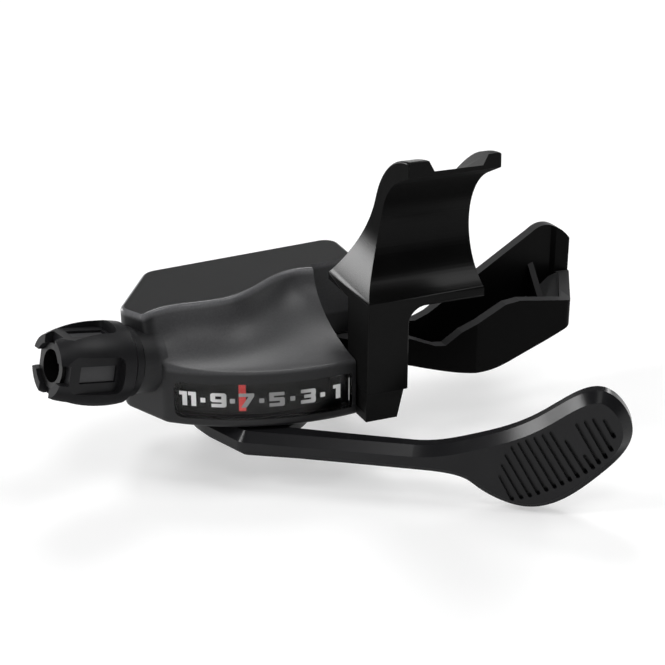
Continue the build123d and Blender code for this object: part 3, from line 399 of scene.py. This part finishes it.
# %% [markdown]
# ### Steel and the clear strip
# Pins, plates and screws are zinc-plated: a metal with fine scratches that run one way, made by
# stretching a noise. The strip in front of the dial is clear and very smooth, so the black scale
# behind it reads as a gloss-black window and the red needle shows through.

# %% Steel and the clear strip
SCRATCHES = (300.0, 6000.0, 6000.0)
STRIP_IOR = 1.2


def plated(name, dark, light, roughness):
    material, shader, coordinates = start_finish(name, roughness, 0.5, metallic=1.0)
    mapping = material.node_tree.nodes.new("ShaderNodeMapping")
    mapping.inputs["Scale"].default_value = SCRATCHES
    material.node_tree.links.new(coordinates.outputs["Object"], mapping.inputs["Vector"])
    scratches = material.node_tree.nodes.new("ShaderNodeTexNoise")
    scratches.inputs["Scale"].default_value = 1.0
    scratches.inputs["Detail"].default_value = 3.0
    material.node_tree.links.new(mapping.outputs["Vector"], scratches.inputs["Vector"])
    add_tint(material, shader, scratches, dark, light)
    add_bump(material, shader, scratches, 0.004 * MM, 0.2)
    return material


plated_steel = plated("plated_steel", (0.42, 0.42, 0.43), (0.58, 0.58, 0.59), 0.32)
spring_steel = plated("spring_steel", (0.26, 0.26, 0.28), (0.40, 0.40, 0.42), 0.38)

clear_strip, strip_shader, strip_coordinates = start_finish("clear_strip", 0.06, 0.5)
strip_shader.inputs["Transmission Weight"].default_value = 1.0
strip_shader.inputs["IOR"].default_value = STRIP_IOR
strip_noise = add_noise(clear_strip, strip_coordinates, 1 / (8 * MM), 2.0)
add_tint(clear_strip, strip_shader, strip_noise, (0.93, 0.93, 0.93), (0.97, 0.97, 0.97))
print("metals and the strip are ready")

# %% [markdown]
# ### Who wears what
# Each finish is listed with the nodes that wear it, and the last line shows that none was forgotten.

# %% Give every node its finish
FINISHES = {
    cover_grain_and_painted_light: ("upper_cover",),
    base_grain: ("base_cover",),
    bracket_satin: ("clamp_bracket",),
    lever_satin: ("main_lever",),
    release_satin: ("release_lever",),
    knob_grain: ("adjuster_knob",),
    core_grey: ("adjuster_core",),
    scale_black: ("indicator_scale",),
    needle_red: ("indicator_needle",),
    clear_strip: ("indicator_lens",),
    acetal: ("cable_drum",),
    spring_steel: ("drum_spring", "pawl_spring", "lever_spring", "release_spring", "adjuster_spring"),
    plated_steel: ("bracket_screw", "cover_screws", "main_axle", "axle_washer", "frame_plate", "frame_posts",
                   "ratchet_plate", "lever_plate", "winding_pawl", "winding_pawl_pin", "holding_pawl",
                   "holding_pawl_pin", "release_pin"),
}
for finish, names in FINISHES.items():
    for name in names:
        for slot in frame["nodes"][name].material_slots:
            slot.material = finish
dressed = {name for names in FINISHES.values() for name in names}
print("nodes left plain:", sorted(set(frame["nodes"]) - dressed))

# %% [markdown]
# ## The seat on the clamp's tip
# The outside of the clamp's tip has a seat milled flat between two lugs. It runs out at the back of the
# band, so the seat shows as a gap in the outline. The bracket's mesh is copied and merged, and a block
# with leaning sides is taken from the copy, which then stands for the bracket.

# %% The block that is taken away
SEAT_TILT = math.radians(25.0)
SEAT_LEVEL = 11.8 * MM
SEAT_HALF = 4.26 * MM
SEAT_LEAN = 0.588
SEAT_RISE = 5.0 * MM
SEAT_START = -12.0 * MM
SEAT_LENGTH = 32.0 * MM

out_of_seat = Vector((0.0, math.sin(SEAT_TILT), math.cos(SEAT_TILT)))
along_seat = Vector((0.0, math.cos(SEAT_TILT), -math.sin(SEAT_TILT)))
block_shape = bmesh.new()
corners = []
for side, rise in ((-1, 0.0), (1, 0.0), (1, SEAT_RISE), (-1, SEAT_RISE)):
    place = out_of_seat * (SEAT_LEVEL + rise) + along_seat * SEAT_START
    place.x = side * (SEAT_HALF + SEAT_LEAN * rise)
    corners.append(block_shape.verts.new(place))
end = block_shape.faces.new(corners)
drawn = bmesh.ops.extrude_face_region(block_shape, geom=[end], use_keep_orig=True)
far_corners = [item for item in drawn["geom"] if isinstance(item, bmesh.types.BMVert)]
bmesh.ops.translate(block_shape, verts=far_corners, vec=along_seat * SEAT_LENGTH)
bmesh.ops.recalc_face_normals(block_shape, faces=block_shape.faces)
seat_block = place_shape("seat_block", block_shape)
print("block faces:", len(seat_block.data.polygons))

# %% [markdown]
# ### Take it from a copy of the bracket
# The cut leaves a plain mesh, so its smooth shading is set anew: edges sharper than thirty degrees stay
# sharp, and large flat faces lead where they meet small round ones.

# %% Take it from a copy of the bracket
SMOOTH_BELOW = math.radians(30.0)
MERGE = 0.0001 * MM

whole_shape = bmesh.new()
whole_shape.from_mesh(frame["nodes"]["clamp_bracket"].data)
bmesh.ops.remove_doubles(whole_shape, verts=whole_shape.verts, dist=MERGE)
whole = place_shape("bracket_whole", whole_shape)
cut = whole.modifiers.new("seat", "BOOLEAN")
cut.operation = "DIFFERENCE"
cut.solver = "EXACT"
cut.object = seat_block
cut_mesh = bpy.data.meshes.new_from_object(whole.evaluated_get(bpy.context.evaluated_depsgraph_get()))
bpy.data.objects.remove(whole)
bpy.data.objects.remove(seat_block)

cut_mesh.name = "clamp_bracket_seated"
cut_mesh.materials.clear()
cut_mesh.materials.append(bracket_satin)
cut_mesh.polygons.foreach_set("use_smooth", [True] * len(cut_mesh.polygons))
cut_mesh.set_sharp_from_angle(angle=SMOOTH_BELOW)
bracket_piece = bpy.data.objects.new("clamp_bracket_seated", cut_mesh)
collection.objects.link(bracket_piece)
even = bracket_piece.modifiers.new("even_faces", "WEIGHTED_NORMAL")
even.keep_sharp = True
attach(bracket_piece, "housing")
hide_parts("clamp_bracket")
print("bracket faces:", len(cut_mesh.polygons))

# %% [markdown]
# ## The dial's numbers
# The numbers are printed on the clear strip: wide, square figures with small square dots between
# them. A font would give rounder figures, so each one is a flat outline instead, drawn on a grid one
# unit high, filled as a curve and turned into a mesh. The mesh is then bent round the strip.

# %% Outlines of the figures
FIGURES = {
    "1": [[(0, 1), (0.52, 1), (0.52, 0), (0.2, 0), (0.2, 0.74), (0, 0.74)]],
    "3": [[(0.03, 1), (0.92, 1), (1.02, 0.9), (1.02, 0.6), (0.95, 0.51), (1.02, 0.42), (1.02, 0.1), (0.92, 0),
           (0.02, 0), (0.02, 0.25), (0.7, 0.25), (0.7, 0.39), (0.24, 0.39), (0.24, 0.62), (0.7, 0.62),
           (0.7, 0.76), (0.03, 0.76)]],
    "5": [[(0.02, 1), (1, 1), (1, 0.76), (0.32, 0.76), (0.32, 0.63), (0.92, 0.63), (1.02, 0.53), (1.02, 0.1),
           (0.92, 0), (0.02, 0), (0.02, 0.24), (0.7, 0.24), (0.7, 0.39), (0.02, 0.39)]],
    "7": [[(0, 1), (1, 1), (1, 0.8), (0.5, 0), (0.14, 0), (0.62, 0.76), (0, 0.76)]],
    "9": [[(0.12, 1), (0.92, 1), (1.04, 0.9), (1.04, 0.1), (0.92, 0), (0.06, 0), (0.06, 0.24), (0.72, 0.24),
           (0.72, 0.36), (0.12, 0.36), (0, 0.46), (0, 0.9)],
          [(0.32, 0.78), (0.72, 0.78), (0.72, 0.57), (0.32, 0.57)]],
    ".": [[(0, 0.62), (0.32, 0.62), (0.32, 0.3), (0, 0.3)]],
    # The bar is a painted highlight on the end edge of the clear strip
    "|": [[(0, 1), (0.036, 1), (0.036, 0), (0, 0)]],
}
FIGURE_GAP = 0.08


def flat_word(word):
    """Shape of a word on the XY plane, one unit high, with its middle at x = 0."""
    curve = bpy.data.curves.new(word, "CURVE")
    curve.dimensions = "2D"
    curve.fill_mode = "BOTH"
    start = 0.0
    for letter in word:
        width = max(x for x, y in FIGURES[letter][0])
        for outline in FIGURES[letter]:
            spline = curve.splines.new("POLY")
            spline.points.add(len(outline) - 1)
            for point, (x, y) in zip(spline.points, outline):
                point.co = (start + x, y, 0.0, 1.0)
            spline.use_cyclic_u = True
        start += width + FIGURE_GAP
    carrier = bpy.data.objects.new(word, curve)
    mesh = bpy.data.meshes.new_from_object(carrier)
    bpy.data.objects.remove(carrier)
    bpy.data.curves.remove(curve)
    shape = bmesh.new()
    shape.from_mesh(mesh)
    bpy.data.meshes.remove(mesh)
    bmesh.ops.translate(shape, verts=shape.verts, vec=((FIGURE_GAP - start) / 2, -0.5, 0.0))
    return shape


print("figures drawn:", "".join(FIGURES))

# %% [markdown]
# ### The ink
# The ink is white at both ends of the dial and greyer in the middle, from the 7 to the 5, where a reflection
# of the clear strip is painted into it.

# %% The ink
REFLECTION_FROM_LEFT = (-40.0 * MM, -33.0 * MM)
REFLECTION_FROM_RIGHT = (-18.5 * MM, -26.0 * MM)
MIDDLE_REFLECTION_GREY = (0.3, 0.3, 0.3)

print_white, print_shader, print_places = start_finish("print_white", 0.45, 0.3)
print_noise = add_noise(print_white, print_places, 1 / (1.5 * MM), 2.0)
add_tint(print_white, print_shader, print_noise, (0.84, 0.84, 0.84), (0.92, 0.92, 0.92))
along_strip = split_axes(print_white, print_places.outputs["Object"])["X"]
from_left = smooth_step(print_white, along_strip, *REFLECTION_FROM_LEFT)
from_right = smooth_step(print_white, along_strip, *REFLECTION_FROM_RIGHT)
white = print_shader.inputs["Base Color"].links[0].from_socket
# The grey in the middle is a painted reflection of the clear strip
ink_with_painted_reflection = layer_grey(print_white, white, MIDDLE_REFLECTION_GREY, both(print_white, from_left, from_right))
print_white.node_tree.links.new(ink_with_painted_reflection, print_shader.inputs["Base Color"])
print("ink nodes:", len(print_white.node_tree.nodes))

# %% [markdown]
# ### Bend a word round the strip
# Each word is cut into narrow upright bands first, so that it can bend. A point's distance along the
# word becomes an angle about the strip's centre, and the print stands a few hundredths of a
# millimetre proud of the strip, as thick ink does.

# %% Helpers for the print
STRIP_CENTRE = Vector((-19.0, 49.6)) * MM
PRINT_R = 40.89 * MM
INK = 0.03 * MM
BAND = 0.2


def bend_on_strip(shape, angle, height, level):
    reach = max(abs(v.co.x) for v in shape.verts)
    bands = int(reach / BAND)
    for step in range(-bands, bands + 1):
        everything = shape.verts[:] + shape.edges[:] + shape.faces[:]
        bmesh.ops.bisect_plane(shape, geom=everything, plane_co=(step * BAND, 0, 0), plane_no=(1, 0, 0))
    for vert in shape.verts:
        turn = math.radians(angle) + vert.co.x * height / PRINT_R
        x = STRIP_CENTRE.x + PRINT_R * math.sin(turn)
        y = STRIP_CENTRE.y - PRINT_R * math.cos(turn)
        vert.co = (x, y, level + vert.co.y * height)


def finish_print(name, shape):
    """Turn the faces to the rider, give them the ink's thickness and let them ride on the housing."""
    bmesh.ops.recalc_face_normals(shape, faces=shape.faces)
    if sum(face.normal.y for face in shape.faces) > 0:
        bmesh.ops.reverse_faces(shape, faces=shape.faces)
    bmesh.ops.solidify(shape, geom=shape.faces[:], thickness=INK)
    piece = place_shape(name, shape)
    piece.data.materials.append(print_white)
    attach(piece, "housing")


print("strip radius:", PRINT_R, "m")

# %% [markdown]
# ### Print them on the strip
# The numbers stand at uneven angles, with a dot half-way between each two, and a thin white line at the end
# of the row is a painted highlight on the strip's edge.

# %% Print them on the strip
FIGURE_HEIGHT = 2.6 * MM
NUMBERS = (("11", -33.7), ("9", -26.35), ("7", -19.74), ("5", -12.61), ("3", -5.1), ("1", 2.06))
NUMBERS_Z = -26.85 * MM
EDGE_HIGHLIGHT_ANGLE = 5.3
EDGE_HIGHLIGHT_HEIGHT = 4.2 * MM

for word, angle in NUMBERS:
    shape = flat_word(word)
    bend_on_strip(shape, angle, FIGURE_HEIGHT, NUMBERS_Z)
    finish_print("dial_number_" + word, shape)
for (_, before), (_, after) in zip(NUMBERS, NUMBERS[1:]):
    shape = flat_word(".")
    bend_on_strip(shape, (before + after) / 2, FIGURE_HEIGHT, NUMBERS_Z)
    finish_print(f"dial_dot_{round(-before)}", shape)
# A thin white bar in ink stands for the highlight on the strip's end edge: a painted highlight
shape = flat_word("|")
bend_on_strip(shape, EDGE_HIGHLIGHT_ANGLE, EDGE_HIGHLIGHT_HEIGHT, NUMBERS_Z)
finish_print("dial_edge_highlight", shape)

# %% [markdown]
# ## The studio
# A white floor lies under the lowest point of the lever. Its paint is pale grey, so that a shadow shows
# on it, and a glow that only the camera, mirrors and glass see lifts it to white. The glow grows with
# the distance, where the lamps no longer reach.

# %% Floor
FLOOR_GAP = 0.5 * MM
FLOOR_HALF = 8.0

floor_level = cad_box[0][2] - FLOOR_GAP
floor_shape = bmesh.new()
bmesh.ops.create_grid(floor_shape, x_segments=1, y_segments=1, size=FLOOR_HALF)
bmesh.ops.translate(floor_shape, verts=floor_shape.verts, vec=(0, 0, floor_level))
floor = place_shape("studio_floor", floor_shape)

floor_paint, floor_shader, floor_places = start_finish("floor_paint", 0.8, 0.2)
floor_noise = add_noise(floor_paint, floor_places, 3.0, 2.0)
add_tint(floor_paint, floor_shader, floor_noise, (0.61, 0.61, 0.61), (0.63, 0.63, 0.63))
floor.data.materials.append(floor_paint)
print("floor at", floor_level, "m")

# %% [markdown]
# ### The floor's glow
# The three kinds of ray that see the floor itself are joined by their maximum. The distance from the
# origin says how strong the glow is.

# %% Glow of the floor
NEAR_LIFT = 0.42
FAR_LIFT = 1.0
NEAR = 0.5
FAR = 1.3

paint_nodes = floor_paint.node_tree.nodes
paint_links = floor_paint.node_tree.links
seen = paint_nodes.new("ShaderNodeLightPath")
seen_at_all = seen.outputs["Is Camera Ray"]
for ray in ("Is Glossy Ray", "Is Transmission Ray"):
    either = paint_nodes.new("ShaderNodeMath")
    either.operation = "MAXIMUM"
    paint_links.new(seen_at_all, either.inputs[0])
    paint_links.new(seen.outputs[ray], either.inputs[1])
    seen_at_all = either.outputs["Value"]
distance = vector_step(floor_paint, "LENGTH", floor_places.outputs["Object"])
far_away = smooth_step(floor_paint, distance, NEAR, FAR)
lift = layer_value(floor_paint, NEAR_LIFT, FAR_LIFT, far_away)
paint_links.new(both(floor_paint, lift, seen_at_all), floor_shader.inputs["Emission Strength"])
floor_shader.inputs["Emission Color"].default_value = (1.0, 1.0, 1.0, 1.0)
print("glow from", NEAR_LIFT, "to", FAR_LIFT)

# %% [markdown]
# ### A floor to look through from below
# A face that is seen from behind turns clear, so the underside can be looked at too.

# %% Clear from below
from_below = paint_nodes.new("ShaderNodeNewGeometry")
see_through = paint_nodes.new("ShaderNodeBsdfTransparent")
one_way = paint_nodes.new("ShaderNodeMixShader")
paint_links.new(from_below.outputs["Backfacing"], one_way.inputs["Fac"])
paint_links.new(floor_shader.outputs["BSDF"], one_way.inputs[1])
paint_links.new(see_through.outputs["BSDF"], one_way.inputs[2])
paint_links.new(one_way.outputs["Shader"], paint_nodes["Material Output"].inputs["Surface"])
print("floor nodes:", len(paint_nodes))

# %% [markdown]
# ### The room
# The room is dim overhead and white along the horizon, so that the floor runs into it without an edge.

# %% Room
FILL = 0.06
HORIZON = 0.05
OVERHEAD = 0.32

world = bpy.data.worlds.new("studio")
bpy.context.scene.world = world
world.use_nodes = True
sky = world.node_tree.nodes
sky_links = world.node_tree.links
sky["Background"].inputs["Color"].default_value = (1.0, 1.0, 1.0, 1.0)
direction = sky.new("ShaderNodeTexCoord")
rise = sky.new("ShaderNodeSeparateXYZ")
fade = sky.new("ShaderNodeMapRange")
fade.interpolation_type = "SMOOTHSTEP"
fade.inputs["From Min"].default_value = HORIZON
fade.inputs["From Max"].default_value = OVERHEAD
fade.inputs["To Min"].default_value = FAR_LIFT
fade.inputs["To Max"].default_value = FILL
sky_links.new(direction.outputs["Generated"], rise.inputs["Vector"])
sky_links.new(rise.outputs["Z"], fade.inputs["Value"])
sky_links.new(fade.outputs["Result"], sky["Background"].inputs["Strength"])
print("room from", FAR_LIFT, "at the horizon to", FILL, "overhead")

# %% [markdown]
# ### The lamps
# Seven soft lamps stand about a metre away. Those on the left and behind draw the long highlights on
# the cove and on the flare under the clamp, those on the right light the levers, and together they
# give the floor an even light with soft shadows.

# %% Lamps
AIM = Vector((-5.0, 15.0, -20.0)) * MM
# Name, place and size in millimetres, and power in watts
LAMPS = (
    ("left", (-925.0, 95.0, 775.0), 300.0, 5.2),
    ("left_low", (-940.0, -340.0, 390.0), 350.0, 1.4),
    ("front", (-235.0, -560.0, 945.0), 380.0, 2.2),
    ("right", (470.0, -215.0, 1000.0), 480.0, 4.2),
    ("right_low", (875.0, 520.0, 390.0), 350.0, 2.6),
    ("back_high", (200.0, 700.0, 940.0), 380.0, 4.2),
    ("back_low", (-530.0, 910.0, 80.0), 260.0, 3.2),
)
for name, place, size, power in LAMPS:
    lamp_data = bpy.data.lights.new("lamp_" + name, "AREA")
    lamp_data.shape = "SQUARE"
    lamp_data.size = size * MM
    lamp_data.energy = power
    lamp = bpy.data.objects.new("lamp_" + name, lamp_data)
    lamp.location = Vector(place) * MM
    lamp.rotation_euler = (AIM - lamp.location).to_track_quat("-Z", "Y").to_euler()
    collection.objects.link(lamp)
bpy.context.scene.view_settings.view_transform = "Standard"
print("lamps:", len(LAMPS))
